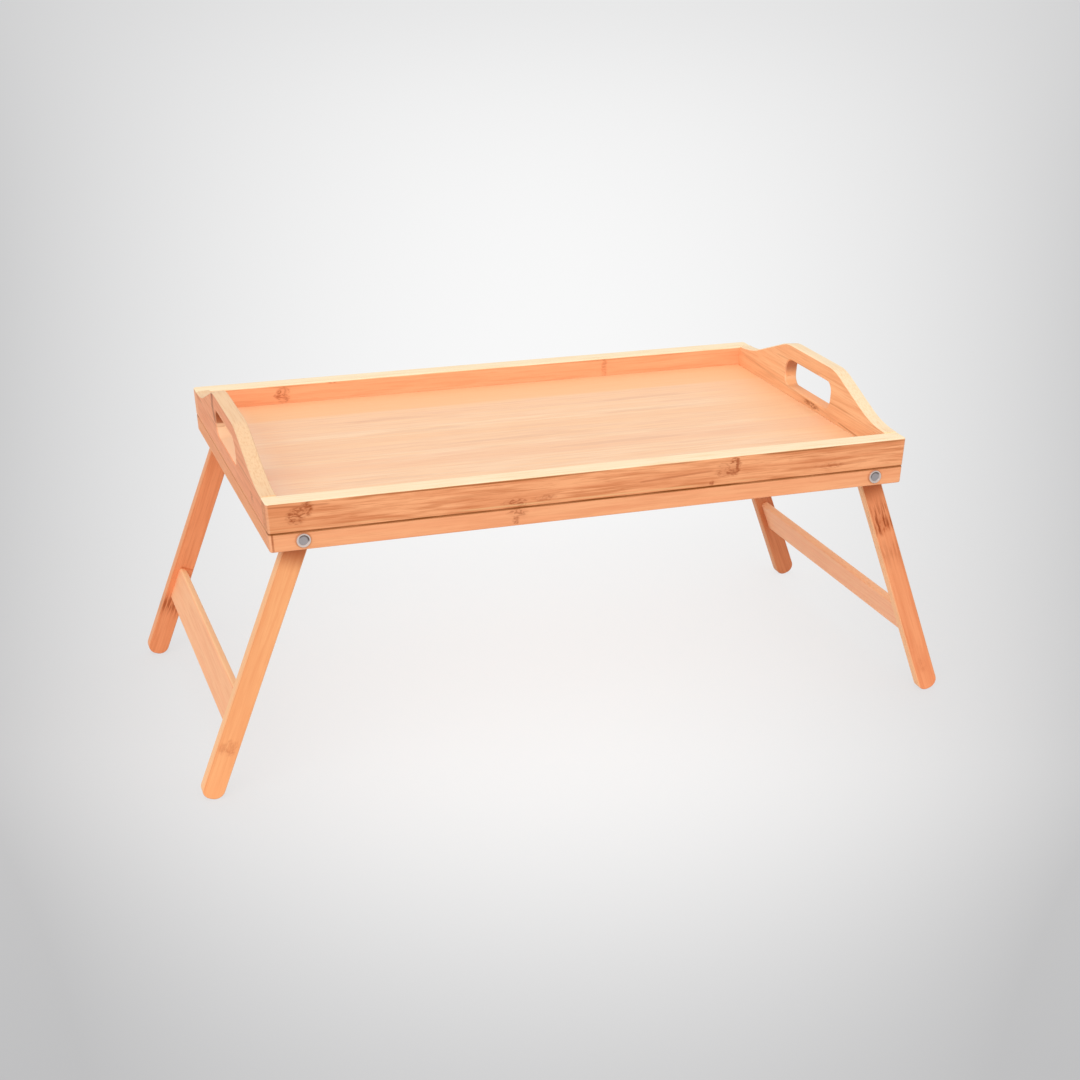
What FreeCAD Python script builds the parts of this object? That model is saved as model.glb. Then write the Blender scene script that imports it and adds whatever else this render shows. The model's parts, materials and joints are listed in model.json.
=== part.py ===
import FreeCAD, Part
import math
import os
from FreeCAD import Placement, Rotation, Vector

# Bamboo bed tray table with folding legs, in millimetres.
# X runs along the tray, Y from front to back, Z up. The origin is the centre of the
# footprint on the surface that the open legs stand on.

# ---- driving dimensions --------------------------------------------------------------
TRAY_LENGTH = 500.0        # over the end panels' outer faces, at the rim
TRAY_WIDTH = 300.0         # over the long rails
END_LEAN = 3.4             # degrees that the ends lean outward
UPPER_HEIGHT = 22.7        # rails and end panels, from the rim down to the seam
LOWER_HEIGHT = 13.6        # strips of the leg frame, below the seam
RAIL_THICKNESS = 15.4
PANEL_THICKNESS = 11.0
SIDE_STRIP_THICKNESS = 9.7
END_STRIP_THICKNESS = 11.5
SEAM_BEVEL = 0.8           # eased arrises that make the dark line of the seam
EDGE_ROUND = 1.0
CORNER_ROUND = 2.2         # the tray's four upright corners

BOARD_DROP = 16.1          # rim down to the serving surface
BOARD_THICKNESS = 4.0
TONGUE_THICKNESS = 2.5     # rebated margin that goes under the rails and panels
PANEL_WEB = 5.0            # what the rebate leaves of an end panel's thickness
BOARD_GAP = 0.2

HANDLE_RISE = 26.0         # crest of an end panel above the rim
CREST_HALF = 35.0          # half of the level top of the handle
OGEE_SLOPE = 20.5          # steepest slope of the ogee shoulders, degrees
CREST_SHARE = 0.3          # share of the two ogee radii that the crest takes
SLOT_LENGTH = 83.0
SLOT_HEIGHT = 22.5
SLOT_CORNER = 8.5
SLOT_RISE = 2.0            # centre of the hand slot above the rim
PANEL_BEVEL = 0.8          # arrises of the handle and its slot

PIVOT_X = 224.3
PIVOT_DROP = 28.9          # pivot axis below the rim
LEG_SPLAY = 20.4           # degrees outward when open
LEG_WIDTH = 16.8
LEG_THICKNESS = 9.1
LEG_REACH = 210.5          # pivot axis to the end of the foot
LEG_BEVEL = 0.8
FOOT_CORNER = 7.5
LEG_INSET = 10.5           # tray side to the leg's outer broad face

BAR_TOP = 131.5            # pivot axis to the crossbar's upper edge, along the leg
BAR_DEPTH = 27.5
BAR_THICKNESS = 6.5
BAR_ROUND = 2.0
TENON_LENGTH = 5.0
TENON_SHOULDER = 1.2
TENON_GAP = 0.1

HEAD_RADIUS = 5.0
HEAD_THICKNESS = 1.5
DISH_RADIUS = 3.8          # sunk face inside the raised ring of a barrel's head
DISH_DEPTH = 0.5
SOCKET_ACROSS = 3.0        # hexagon socket of a screw, across flats
SOCKET_DEPTH = 1.8
BARREL_RADIUS = 3.0
RUNNING_CLEARANCE = 0.05   # radial, leg bore over the barrel
SEAT_CLEARANCE = 0.02      # radial, rail bore over the barrel
THREAD_RADIUS = 2.0
THREAD_LENGTH = 12.0
THREAD_RELIEF = 1.0        # barrel bore beyond the end of the screw
WASHER_RADIUS = 6.5
WASHER_CLEARANCE = 0.08
SIDE_PLAY = 0.1            # between a leg and what it turns against

KEY_THICKNESS = 4.0        # loose tenons inside the corner joints
KEY_INTO_END = 14.0
KEY_GAP = 0.05
UPPER_KEY_INTO_RAIL = 10.0
UPPER_KEY_DROP = 3.5       # rim to the tenon's upper edge
UPPER_KEY_HEIGHT = 11.5
LOWER_KEY_INTO_RAIL = 6.0
LOWER_KEY_DROP = 3.3       # seam to the tenon's upper edge
LOWER_KEY_HEIGHT = 7.0

# ---- places worked out from them -------------------------------------------------------
SPLAY = math.radians(LEG_SPLAY)
LEAN = math.radians(END_LEAN)
HALF_LENGTH = TRAY_LENGTH / 2
HALF_WIDTH = TRAY_WIDTH / 2
PIVOT_Z = ((LEG_REACH - FOOT_CORNER) * math.cos(SPLAY)
           + (LEG_WIDTH / 2 - FOOT_CORNER) * math.sin(SPLAY) + FOOT_CORNER)
RIM_Z = PIVOT_Z + PIVOT_DROP
CREST_Z = RIM_Z + HANDLE_RISE
SEAM_Z = RIM_Z - UPPER_HEIGHT
BASE_Z = SEAM_Z - LOWER_HEIGHT
BOARD_TOP = RIM_Z - BOARD_DROP
BOARD_UNDER = BOARD_TOP - BOARD_THICKNESS
LEDGE_Z = BOARD_UNDER + TONGUE_THICKNESS
RAIL_INNER = HALF_WIDTH - RAIL_THICKNESS
STRIP_INNER = HALF_WIDTH - SIDE_STRIP_THICKNESS
LEG_OUTER_Y = HALF_WIDTH - LEG_INSET
LEG_INNER_Y = LEG_OUTER_Y - LEG_THICKNESS
BARREL_LENGTH = HALF_WIDTH - LEG_INNER_Y + SIDE_PLAY
UPPER_KEY = (RIM_Z - UPPER_KEY_DROP, UPPER_KEY_HEIGHT, UPPER_KEY_INTO_RAIL)
LOWER_KEY = (SEAM_Z - LOWER_KEY_DROP, LOWER_KEY_HEIGHT, LOWER_KEY_INTO_RAIL)
SIDES = {"left": -1, "right": 1}
ROWS = {"front": -1, "back": 1}
CLOSE = 0.01               # two edges nearer than this are at one place


# ---- helpers -----------------------------------------------------------------------------
def box(x0, x1, y0, y1, z0, z1):
    """A box between two corners, given in any order."""
    low = Vector(min(x0, x1), min(y0, y1), min(z0, z1))
    return Part.makeBox(abs(x1 - x0), abs(y1 - y0), abs(z1 - z0), low)


def prism(points, along):
    """A closed polygon pushed along a vector."""
    loop = [Vector(*point) for point in points]
    wire = Part.makePolygon(loop + loop[:1])
    return Part.Face(wire).extrude(along)


def cylinder_y(radius, x, y0, y1, z):
    """A cylinder along Y between two depths."""
    return Part.makeCylinder(radius, abs(y1 - y0), Vector(x, min(y0, y1), z), Vector(0, 1, 0))


def wall_x(z, inset=0.0):
    """Distance from the middle to an end wall's plane at height z, inset by a thickness."""
    return HALF_LENGTH + (z - RIM_Z) * math.tan(LEAN) - inset / math.cos(LEAN)


def between_ends(z0, z1, y0, y1, inset=0.0):
    """The block between the two leaning end planes, over a range of heights and depths."""
    profile = [(-wall_x(z0, inset), y0, z0), (wall_x(z0, inset), y0, z0),
               (wall_x(z1, inset), y0, z1), (-wall_x(z1, inset), y0, z1)]
    return prism(profile, Vector(0, y1 - y0, 0))


def end_slab(side, z0, z1, y0, y1, outer, inner):
    """A leaning slab of one end, between two insets from its outer face."""
    profile = [(side * wall_x(z0, outer), y0, z0), (side * wall_x(z0, inner), y0, z0),
               (side * wall_x(z1, inner), y0, z1), (side * wall_x(z1, outer), y0, z1)]
    return prism(profile, Vector(0, y1 - y0, 0))


def rounded(shape, radius, wanted):
    """The shape with the wanted edges rounded."""
    return shape.makeFillet(radius, [edge for edge in shape.Edges if wanted(edge)])


def bevelled(shape, size, wanted):
    """The shape with the wanted edges bevelled."""
    return shape.makeChamfer(size, [edge for edge in shape.Edges if wanted(edge)])


def level_at(edge, z):
    """True for an edge that lies at one height."""
    return abs(edge.BoundBox.ZMin - z) < CLOSE and abs(edge.BoundBox.ZMax - z) < CLOSE


def on_outside(edge, z):
    """True for a straight edge at height z that runs round the outside of the tray."""
    bounds = edge.BoundBox
    on_row = abs(abs(bounds.YMin) - HALF_WIDTH) < CLOSE and bounds.YLength < CLOSE
    on_end = abs(abs(bounds.XMin) - wall_x(z)) < CLOSE and bounds.XLength < CLOSE
    long_enough = max(bounds.XLength, bounds.YLength) > RAIL_THICKNESS
    return level_at(edge, z) and (on_row or on_end) and long_enough


def upright_corner(edge):
    """True for the four outer corners of the tray, which lean with the ends."""
    bounds = edge.BoundBox
    on_row = abs(abs(bounds.YMin) - HALF_WIDTH) < CLOSE and bounds.YLength < CLOSE
    return on_row and bounds.ZLength > LOWER_HEIGHT / 2


# ---- the two frames ------------------------------------------------------------------------
def frame_ring(z0, z1, inner_y, end_thickness):
    """Four members as one ring, so that their eased edges run on across the joints."""
    outer = between_ends(z0, z1, -HALF_WIDTH, HALF_WIDTH)
    return outer.cut(between_ends(z0, z1, -inner_y, inner_y, end_thickness))


def rail_of(ring, row, inner_y):
    """The full-length member of a ring at one side."""
    return ring.common(box(-TRAY_LENGTH, TRAY_LENGTH, row * inner_y, row * TRAY_WIDTH, 0, CREST_Z))


def end_of(ring, side, inner_y):
    """The member of a ring between the rails at one end."""
    return ring.common(box(0, side * TRAY_LENGTH, -inner_y, inner_y, 0, CREST_Z))


def board_pocket():
    """The rebate under the upper frame that the tray board's margin goes up into."""
    return between_ends(SEAM_Z, LEDGE_Z, -STRIP_INNER, STRIP_INNER, PANEL_WEB)


def upper_ring():
    """The upper frame as if its ends had no handles; its rails are taken from it."""
    ring = frame_ring(SEAM_Z, RIM_Z, RAIL_INNER, PANEL_THICKNESS)
    ring = rounded(ring, CORNER_ROUND, upright_corner)
    ring = rounded(ring, EDGE_ROUND, lambda edge: level_at(edge, RIM_Z))
    ring = bevelled(ring, SEAM_BEVEL, lambda edge: on_outside(edge, SEAM_Z))
    return ring.cut(board_pocket())


def lower_ring():
    """The four strips of the leg frame, with a lip on each end strip that carries the board."""
    ring = frame_ring(BASE_Z, SEAM_Z, STRIP_INNER, END_STRIP_THICKNESS)
    ring = rounded(ring, CORNER_ROUND, upright_corner)
    ring = bevelled(ring, SEAM_BEVEL, lambda edge: on_outside(edge, SEAM_Z))
    ring = rounded(ring, EDGE_ROUND, lambda edge: on_outside(edge, BASE_Z))
    for side in SIDES.values():
        lip = end_slab(side, SEAM_Z, BOARD_UNDER, -STRIP_INNER, STRIP_INNER,
                       PANEL_WEB + BOARD_GAP, END_STRIP_THICKNESS)
        ring = ring.fuse(lip)
    return ring.removeSplitter()


# ---- end panels with their handles --------------------------------------------------------
def handle_outline(lift, foot_z):
    """Side view of an end panel: an ogee shoulder each side of a level crest."""
    slope = math.radians(OGEE_SLOPE)
    run = RAIL_INNER - CREST_HALF
    radii = (run * math.sin(slope) - HANDLE_RISE * math.cos(slope)) / (1 - math.cos(slope))
    crest = radii * CREST_SHARE
    foot = radii - crest

    def on_crest(angle, mirror):
        return Vector(0, mirror * (CREST_HALF + crest * math.sin(angle)),
                      CREST_Z + lift - crest * (1 - math.cos(angle)))

    def on_foot(angle, mirror):
        return Vector(0, mirror * (RAIL_INNER - foot * math.sin(angle)),
                      RIM_Z + lift + foot * (1 - math.cos(angle)))

    edges = [Part.makeLine(on_crest(0, -1), on_crest(0, 1)),
             Part.makeLine(Vector(0, -RAIL_INNER, foot_z), Vector(0, RAIL_INNER, foot_z))]
    for mirror in (-1, 1):
        crest_arc = Part.Arc(*[on_crest(angle, mirror) for angle in (0, slope / 2, slope)])
        foot_arc = Part.Arc(*[on_foot(angle, mirror) for angle in (slope, slope / 2, 0)])
        edges += [crest_arc.toShape(), foot_arc.toShape(),
                  Part.makeLine(on_crest(slope, mirror), on_foot(slope, mirror)),
                  Part.makeLine(on_foot(0, mirror), Vector(0, mirror * RAIL_INNER, foot_z))]
    return Part.Wire(Part.sortEdges(edges)[0])


def slot_outline(lift):
    """The hand slot: an oblong with round corners."""
    reach = SLOT_LENGTH / 2 - SLOT_CORNER
    climb = SLOT_HEIGHT / 2 - SLOT_CORNER
    bend = SLOT_CORNER * math.sqrt(0.5)
    middle = RIM_Z + SLOT_RISE + lift
    edges = []
    for out in (-1, 1):
        edges.append(Part.makeLine(Vector(0, -reach, middle + out * (climb + SLOT_CORNER)),
                                   Vector(0, reach, middle + out * (climb + SLOT_CORNER))))
        edges.append(Part.makeLine(Vector(0, out * (reach + SLOT_CORNER), middle - climb),
                                   Vector(0, out * (reach + SLOT_CORNER), middle + climb)))
        for up in (-1, 1):
            edges.append(Part.Arc(
                Vector(0, out * reach, middle + up * (climb + SLOT_CORNER)),
                Vector(0, out * (reach + bend), middle + up * (climb + bend)),
                Vector(0, out * (reach + SLOT_CORNER), middle + up * climb)).toShape())
    return Part.Wire(Part.sortEdges(edges)[0])


def end_panel(side):
    """A panel worked square, with its top and its slot eased, then leaned and cut level."""
    lift = PANEL_THICKNESS / 2 * math.sin(LEAN)
    plank = Part.Face(handle_outline(lift, SEAM_Z - PANEL_THICKNESS))
    plank = plank.cut(Part.Face(slot_outline(lift))).Faces[0]
    plank.translate(Vector(side * HALF_LENGTH, 0, 0))
    plank = plank.extrude(Vector(-side * PANEL_THICKNESS, 0, 0))

    def on_top_or_slot(edge):
        return edge.BoundBox.XLength < CLOSE and edge.BoundBox.ZMin > SEAM_Z

    plank = bevelled(plank, PANEL_BEVEL, on_top_or_slot)
    plank.rotate(Vector(side * HALF_LENGTH, 0, RIM_Z), Vector(0, 1, 0), side * END_LEAN)
    plank = plank.common(box(0, side * TRAY_LENGTH, -HALF_WIDTH, HALF_WIDTH, SEAM_Z, 2 * RIM_Z))
    plank = bevelled(plank, SEAM_BEVEL, lambda edge: on_outside(edge, SEAM_Z))
    return plank.cut(board_pocket())


# ---- tray board --------------------------------------------------------------------------
def tray_board():
    """The serving board: a raised field with a thinner margin all round."""
    field = between_ends(LEDGE_Z, BOARD_TOP, -RAIL_INNER + BOARD_GAP, RAIL_INNER - BOARD_GAP,
                         PANEL_THICKNESS + BOARD_GAP)
    margin = between_ends(BOARD_UNDER, LEDGE_Z, -STRIP_INNER + BOARD_GAP, STRIP_INNER - BOARD_GAP,
                          PANEL_WEB + BOARD_GAP)
    return field.fuse(margin).removeSplitter()


# ---- loose tenons in the corner joints -----------------------------------------------------
def corner_keys(joint_y, end_thickness, key, gap=0.0):
    """Four loose tenons across the corner joints, or their mortises when gap is given."""
    top, height, into_rail = key
    outer = (end_thickness - KEY_THICKNESS) / 2
    blocks = []
    for side in SIDES.values():
        for row in ROWS.values():
            blocks.append(end_slab(side, top - height - gap, top + gap,
                                   row * (joint_y - KEY_INTO_END - gap),
                                   row * (joint_y + into_rail + gap),
                                   outer - gap, outer + KEY_THICKNESS + gap))
    return Part.makeCompound(blocks)


# ---- legs and crossbars ---------------------------------------------------------------------
def place_on_leg(shape, side):
    """Turn a piece from a leg hanging straight down at the origin to its open place."""
    shape.Placement = Placement(Vector(side * PIVOT_X, 0, PIVOT_Z),
                                Rotation(Vector(0, 1, 0), -side * LEG_SPLAY))
    return shape


def crossbar_block(length, shoulder):
    """The crossbar's section, less a shoulder on every side, over a length along Y."""
    half = BAR_THICKNESS / 2 - shoulder
    return box(-half, half, -length / 2, length / 2,
               -BAR_TOP - shoulder, -BAR_TOP - BAR_DEPTH + shoulder)


def leg_outline():
    """Broad face of a leg: round over the pivot, with round corners at the foot."""
    half = LEG_WIDTH / 2
    flat = half - FOOT_CORNER
    bend = FOOT_CORNER * (1 - math.sqrt(0.5))
    edges = [Part.Arc(Vector(-half, 0, 0), Vector(0, 0, half), Vector(half, 0, 0)).toShape(),
             Part.makeLine(Vector(-flat, 0, -LEG_REACH), Vector(flat, 0, -LEG_REACH))]
    for mirror in (-1, 1):
        start = Vector(mirror * half, 0, FOOT_CORNER - LEG_REACH)
        edges.append(Part.makeLine(Vector(mirror * half, 0, 0), start))
        edges.append(Part.Arc(start, Vector(mirror * (half - bend), 0, bend - LEG_REACH),
                              Vector(mirror * flat, 0, -LEG_REACH)).toShape())
    return Part.Wire(Part.sortEdges(edges)[0])


def leg(side, row):
    """A leg with bevelled arrises, bored for its pivot and mortised for the crossbar."""
    face = Part.Face(leg_outline())
    face.translate(Vector(0, row * LEG_INNER_Y, 0))
    blank = face.extrude(Vector(0, row * LEG_THICKNESS, 0))
    blank = bevelled(blank, LEG_BEVEL, lambda edge: edge.BoundBox.YLength < CLOSE)
    bore = cylinder_y(BARREL_RADIUS + RUNNING_CLEARANCE, 0, 0, row * TRAY_WIDTH, 0)
    mortise = crossbar_block(2 * (LEG_INNER_Y + TENON_LENGTH + TENON_GAP),
                             TENON_SHOULDER - TENON_GAP)
    return place_on_leg(blank.cut(bore).cut(mortise), side)


def crossbar(side):
    """The flat bar between two legs, with rounded edges and a tenon at each end."""
    bar = crossbar_block(2 * LEG_INNER_Y, 0)
    bar = rounded(bar, BAR_ROUND, lambda edge: edge.BoundBox.YLength > LEG_INNER_Y)
    tenons = crossbar_block(2 * (LEG_INNER_Y + TENON_LENGTH), TENON_SHOULDER)
    return place_on_leg(bar.fuse(tenons).removeSplitter(), side)


# ---- pivot hardware, made with its head on the -Y side of the XZ plane --------------------------
def hexagon_socket():
    """The socket's tool, sunk into the top of a screw's head."""
    corner = SOCKET_ACROSS / math.sqrt(3)
    hexagon = [(corner * math.cos(math.radians(60 * k)), -HEAD_THICKNESS,
                corner * math.sin(math.radians(60 * k))) for k in range(6)]
    return prism(hexagon, Vector(0, SOCKET_DEPTH, 0))


def pivot_barrel():
    """The sleeve nut: its dished head is outside the tray and its barrel carries the leg."""
    head = cylinder_y(HEAD_RADIUS, 0, -HEAD_THICKNESS, 0, 0)
    dish = cylinder_y(DISH_RADIUS, 0, -HEAD_THICKNESS, DISH_DEPTH - HEAD_THICKNESS, 0)
    barrel = cylinder_y(BARREL_RADIUS, 0, 0, BARREL_LENGTH, 0)
    thread = cylinder_y(THREAD_RADIUS + SEAT_CLEARANCE, 0,
                        BARREL_LENGTH - THREAD_LENGTH - THREAD_RELIEF, BARREL_LENGTH, 0)
    return head.cut(dish).fuse(barrel).cut(thread)


def pivot_screw():
    """The screw that closes the barrel from inside the leg, turned round to face it."""
    head = cylinder_y(HEAD_RADIUS, 0, -HEAD_THICKNESS, 0, 0)
    shank = cylinder_y(THREAD_RADIUS, 0, 0, THREAD_LENGTH, 0)
    screw = head.fuse(shank).cut(hexagon_socket())
    screw.rotate(Vector(0, 0, 0), Vector(0, 0, 1), 180)
    screw.translate(Vector(0, BARREL_LENGTH, 0))
    return screw


def pivot_washer():
    """The washer that keeps a leg off its strip."""
    start = SIDE_STRIP_THICKNESS
    end = LEG_INSET - SIDE_PLAY
    ring = cylinder_y(WASHER_RADIUS, 0, start, end, 0)
    return ring.cut(cylinder_y(BARREL_RADIUS + WASHER_CLEARANCE, 0, start, end, 0))


def place_at_pivot(shape, side, row):
    """Move a piece of hardware from the origin to one pivot, facing out of the tray."""
    turn = 0 if row < 0 else 180
    there = Placement(Vector(side * PIVOT_X, row * HALF_WIDTH, PIVOT_Z),
                      Rotation(Vector(0, 0, 1), turn))
    shape.Placement = there.multiply(shape.Placement)
    return shape


# ---- the whole object -----------------------------------------------------------------------------
def frame_nodes():
    """Rails, end panels, strips, board and the loose tenons between them."""
    upper = upper_ring()
    lower = lower_ring()
    upper_mortises = corner_keys(RAIL_INNER, PANEL_THICKNESS, UPPER_KEY, KEY_GAP)
    lower_mortises = corner_keys(STRIP_INNER, END_STRIP_THICKNESS, LOWER_KEY, KEY_GAP)
    nodes = {"tray_board": tray_board(),
             "upper_loose_tenons": corner_keys(RAIL_INNER, PANEL_THICKNESS, UPPER_KEY),
             "lower_loose_tenons": corner_keys(STRIP_INNER, END_STRIP_THICKNESS, LOWER_KEY)}
    for row_name, row in ROWS.items():
        nodes[row_name + "_rail"] = rail_of(upper, row, RAIL_INNER).cut(upper_mortises)
        strip = rail_of(lower, row, STRIP_INNER).cut(lower_mortises)
        for side in SIDES.values():
            strip = strip.cut(cylinder_y(BARREL_RADIUS + SEAT_CLEARANCE, side * PIVOT_X,
                                         0, row * TRAY_WIDTH, PIVOT_Z))
        nodes[row_name + "_lower_rail"] = strip
    for side_name, side in SIDES.items():
        nodes[side_name + "_end_panel"] = end_panel(side).cut(upper_mortises)
        nodes[side_name + "_lower_rail"] = end_of(lower, side, STRIP_INNER).cut(lower_mortises)
    return nodes


def leg_nodes():
    """Legs, crossbars and pivot hardware; the like screws and washers are kept together."""
    nodes = {}
    screws = []
    washers = []
    for side_name, side in SIDES.items():
        nodes[side_name + "_crossbar"] = crossbar(side)
        for row_name, row in ROWS.items():
            corner = row_name + "_" + side_name
            nodes[corner + "_leg"] = leg(side, row)
            nodes[corner + "_pivot_barrel"] = place_at_pivot(pivot_barrel(), side, row)
            screws.append(place_at_pivot(pivot_screw(), side, row))
            washers.append(place_at_pivot(pivot_washer(), side, row))
    nodes["pivot_screws"] = Part.makeCompound(screws)
    nodes["pivot_washers"] = Part.makeCompound(washers)
    return nodes


os.makedirs("parts", exist_ok=True)
for node, shape in {**frame_nodes(), **leg_nodes()}.items():
    if not shape.isValid():
        raise ValueError(node + " is not a valid shape")
    shape.exportStep("parts/" + node + ".step")
    print("%-28s %2d solid(s) %10.1f mm3" % (node, len(shape.Solids), shape.Volume))
print("pivot axis %.2f, rim %.2f, crest %.2f above the floor" % (PIVOT_Z, RIM_Z, CREST_Z))
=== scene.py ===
# %% [markdown]
# # Finishing a bamboo bed tray table
# The tray, its legs and its hardware come ready made and exactly placed. This lesson gives them
# their bamboo, steel and nylon, and then sets up a plain studio. Nothing here moves or reshapes
# a made piece. Lengths are in metres, with X along the tray, Y from front to back and Z up.

# %% Load the made pieces
import math
from collections import namedtuple

import bmesh
import bpy
from mathutils import Matrix, Vector
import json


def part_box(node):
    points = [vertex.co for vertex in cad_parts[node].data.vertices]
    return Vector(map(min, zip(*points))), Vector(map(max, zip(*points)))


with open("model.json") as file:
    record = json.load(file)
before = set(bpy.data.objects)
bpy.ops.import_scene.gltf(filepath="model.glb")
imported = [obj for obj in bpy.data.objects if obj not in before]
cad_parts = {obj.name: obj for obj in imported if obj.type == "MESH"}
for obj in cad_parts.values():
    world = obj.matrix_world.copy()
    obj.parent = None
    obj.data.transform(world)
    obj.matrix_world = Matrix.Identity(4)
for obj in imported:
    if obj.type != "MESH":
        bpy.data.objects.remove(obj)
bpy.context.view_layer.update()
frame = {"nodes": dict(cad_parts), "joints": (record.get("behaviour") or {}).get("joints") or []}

# %% [markdown]
# The finishes need a few places on the tray: where the rim, the seam and the board lie, and where
# the legs turn. They are read from the pieces, so that the finish follows the wood if a size
# changes.

# %% Places on the tray
MM = 0.001

rim_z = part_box("front_rail")[1].z
seam_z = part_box("front_rail")[0].z
board_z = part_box("tray_board")[1].z
pivots = {joint["child"]: Vector(joint["pos_m"]) for joint in frame["joints"]}
pivot_x = pivots["right_legs"].x
pivot_z = pivots["right_legs"].z
print("rim %.1f mm, seam %.1f mm, board %.1f mm, pivots %.1f mm up"
      % (rim_z / MM, seam_z / MM, board_z / MM, pivot_z / MM))

# %% [markdown]
# ## Writing a finish as sums
# On a real piece the colour changes from point to point, and in Blender a network of nodes works
# it out. Nodes for sums soon fill a page, so `Value` wraps one output of a node, and a plain sum
# with it, such as 1 - mask, adds the Math node by itself.

# %% Numbers that vary over a surface
class Value:
    """A number that varies over a surface. Sums with it add Math nodes to its network."""

    def __init__(self, network, socket):
        self.network = network
        self.socket = socket

    def __add__(self, other):
        return self.network.math("ADD", self, other)

    def __sub__(self, other):
        return self.network.math("SUBTRACT", self, other)

    def __rsub__(self, other):
        return self.network.math("SUBTRACT", other, self)

    def __mul__(self, other):
        return self.network.math("MULTIPLY", self, other)

    def __truediv__(self, other):
        return self.network.math("DIVIDE", self, other)

    def __abs__(self):
        return self.network.math("ABSOLUTE", self)

    __radd__ = __add__
    __rmul__ = __mul__

    def floor(self):
        return self.network.math("FLOOR", self)

    def fraction(self):
        return self.network.math("FRACT", self)

    def either(self, other):
        """The larger of two values."""
        return self.network.math("MAXIMUM", self, other)

    def rise(self, start, end):
        """A smooth step from 0 at start to 1 at end; end may be the smaller."""
        node = self.network.node("ShaderNodeMapRange", {"interpolation_type": "SMOOTHSTEP"},
                                 {"Value": self, "From Min": start, "From Max": end})
        return Value(self.network, node.outputs[0])


print("besides sums, a value has:", ", ".join(name for name in vars(Value) if name[0] != "_"))

# %% [markdown]
# A finish is one network of nodes and the light of the sky is another. Each node has a kind, a
# few settings, and sockets that hold a number or a link. Setting them one by one takes many
# lines, so one method takes all three, and every node of this lesson comes from it.

# %% A network of nodes
class Network:
    """The nodes of one finish, or of the sky."""

    def __init__(self, tree):
        self.tree = tree
        self.tree.nodes.clear()

    def node(self, kind, settings=None, sockets=None):
        """Adds a node, sets it up, then fills or links its sockets."""
        made = self.tree.nodes.new(kind)
        for setting, value in (settings or {}).items():
            setattr(made, setting, value)
        for key, value in (sockets or {}).items():
            source = value.socket if isinstance(value, Value) else value
            if isinstance(source, bpy.types.NodeSocket):
                self.tree.links.new(source, made.inputs[key])
            else:
                made.inputs[key].default_value = source
        return made

    def math(self, operation, *terms):
        made = self.node("ShaderNodeMath", {"operation": operation}, dict(enumerate(terms)))
        return Value(self, made.outputs[0])

    def seen(self):
        """1 for what the camera or the gloss of the steel sees, 0 for what only gives light."""
        rays = self.node("ShaderNodeLightPath")
        return self.math("MAXIMUM", rays.outputs["Is Camera Ray"], rays.outputs["Is Glossy Ray"])


print("a network has:", ", ".join(name for name in vars(Network) if name[0] != "_"))

# %% [markdown]
# A material starts from where a point is in its piece and which way the surface faces there.
# `Finish` is a network with those two, with noise, and with a way to mix colours. A Math node
# would turn a colour grey, so colours go through Mix nodes. What changes over the surface feeds
# the colour, the roughness and a shallow relief, and the rest is set on the shader itself.

# %% A finish
MIX_FACTOR, MIX_FIRST, MIX_SECOND, MIX_RESULT = 0, 6, 7, 2      # colour sockets of a Mix node


class Finish(Network):
    """One material, with its nodes made by code."""

    def __init__(self, name):
        self.material = bpy.data.materials.new(name)
        self.material.use_nodes = True
        super().__init__(self.material.node_tree)
        self.place = self.node("ShaderNodeTexCoord")

    def distance(self, direction, origin=(0, 0, 0)):
        """How far a point lies along a direction from an origin, in the piece's own frame."""
        offset = self.node("ShaderNodeVectorMath", {"operation": "SUBTRACT"},
                           {0: self.place.outputs["Object"], 1: tuple(origin)})
        dot = self.node("ShaderNodeVectorMath", {"operation": "DOT_PRODUCT"},
                        {0: offset.outputs[0], 1: tuple(direction)})
        return Value(self, dot.outputs["Value"])

    def facing(self, direction):
        """1 where the surface faces a direction, 0 where it is edge on, -1 where it faces away."""
        dot = self.node("ShaderNodeVectorMath", {"operation": "DOT_PRODUCT"},
                        {0: self.place.outputs["Normal"], 1: tuple(direction)})
        return Value(self, dot.outputs["Value"])

    def noise(self, x, y, z, detail=2.0, curl=0.0):
        """Smooth noise, about 0.5 on average, over three values."""
        where = self.node("ShaderNodeCombineXYZ", None, {0: x, 1: y, 2: z})
        made = self.node("ShaderNodeTexNoise", None,
                         {"Vector": where.outputs[0], "Scale": 1.0, "Detail": detail,
                          "Distortion": curl})
        return Value(self, made.outputs[0])

    def chance(self, value):
        """An even random number for each whole value."""
        made = self.node("ShaderNodeTexWhiteNoise", {"noise_dimensions": "1D"}, {"W": value})
        return Value(self, made.outputs["Value"])

    def mix(self, share, first, second):
        """A colour between two others."""
        made = self.node("ShaderNodeMix", {"data_type": "RGBA"},
                         {MIX_FACTOR: share, MIX_FIRST: first, MIX_SECOND: second})
        return made.outputs[MIX_RESULT]

    def surface(self, colour, roughness, height, depth, constants):
        """The shader itself, with a relief of the given depth."""
        bump = self.node("ShaderNodeBump", None,
                         {"Height": height, "Distance": depth, "Strength": 1.0})
        shader = self.node("ShaderNodeBsdfPrincipled", None,
                           {"Base Color": colour, "Roughness": roughness,
                            "Normal": bump.outputs[0], **constants})
        self.node("ShaderNodeOutputMaterial", None, {"Surface": shader.outputs[0]})
        return self.material


def tone(red, green, blue):
    """Screen levels from 0 to 255 as the linear colour that a shader takes."""
    levels = [level / 255 for level in (red, green, blue)]
    return tuple(((c + 0.055) / 1.055) ** 2.4 if c > 0.04 else c / 12.92 for c in levels) + (1.0,)


print("level 128 on the screen is %.3f in the shader" % tone(128, 128, 128)[0])

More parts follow.
